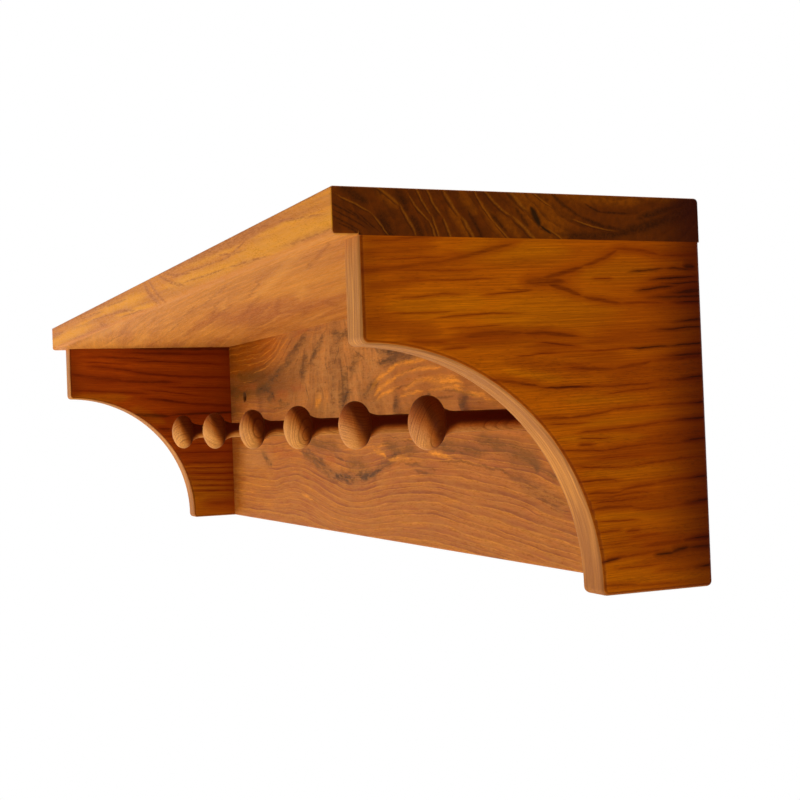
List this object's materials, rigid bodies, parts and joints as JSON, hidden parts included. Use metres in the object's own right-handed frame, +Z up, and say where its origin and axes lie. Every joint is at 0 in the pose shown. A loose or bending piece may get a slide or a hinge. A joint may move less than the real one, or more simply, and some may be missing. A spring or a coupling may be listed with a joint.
{
  "type": "peg rail with shelf",
  "caption": "Wall-mounted wooden shelf on two coved end brackets, with a back board that carries a row of turned mushroom-headed pegs.",
  "frame": {"origin": "on the wall plane, half way between the two wall-screw holes", "axes": "+X along the rail to its right end as seen from the room, +Y into the wall, +Z up"},
  "size_m": [0.713, 0.1735, 0.1719],
  "materials": {
    "shelf_teak": "oiled, satin",
    "back_teak": "oiled, satin, figured",
    "bracket_teak": "oiled, satin",
    "peg_teak": "turned and oiled",
    "dowel_beech": "plain, glued in"
  },
  "bodies": {
    "root": {"shelf_board": "shelf_teak", "back_board": "back_teak", "left_bracket": "bracket_teak", "right_bracket": "bracket_teak", "peg_1": "peg_teak", "peg_2": "peg_teak", "peg_3": "peg_teak", "peg_4": "peg_teak", "peg_5": "peg_teak", "peg_6": "peg_teak", "shelf_dowels_left": "dowel_beech", "shelf_dowels_right": "dowel_beech", "back_dowels_left": "dowel_beech", "back_dowels_right": "dowel_beech", "shelf_to_back_dowels": "dowel_beech"}
  },
  "joints": []
}
